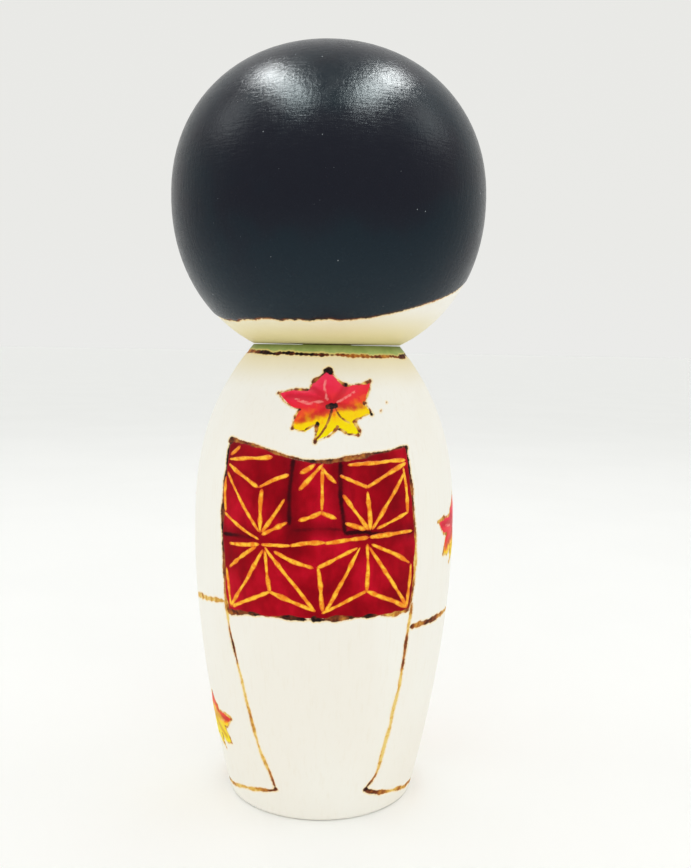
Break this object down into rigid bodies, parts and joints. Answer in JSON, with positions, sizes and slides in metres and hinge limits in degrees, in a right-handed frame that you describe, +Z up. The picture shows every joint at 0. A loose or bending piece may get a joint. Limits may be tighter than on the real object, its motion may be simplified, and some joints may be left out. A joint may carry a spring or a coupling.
{
  "type": "kokeshi doll",
  "caption": "Turned wooden doll with a flared, flat-based body and a rounded head that turns on a hidden dowel; painted and burnt decoration.",
  "frame": {"origin": "centre of the flat base, on the surface the doll stands on", "axes": "+Z up along the turning axis; -Y the doll's front (the front of the painted dress); +X the doll's left side"},
  "size_m": [0.0623, 0.0622, 0.15],
  "materials": {
    "painted_body": "satin lacquer over ivory paint, burnt outlines",
    "bare_wood": "bare, fine sanded",
    "painted_head": "satin lacquer over navy black paint, pale bare wood below the hair"
  },
  "bodies": {
    "body": {"body": "painted_body"},
    "head": {"head": "painted_head", "neck_dowel": "bare_wood"}
  },
  "joints": [
    {"name": "head_turn", "type": "hinge", "parent": "body", "child": "head", "pos_m": [0, 0, 0.0915], "axis": [0, 0, 1], "continuous": true}
  ]
}
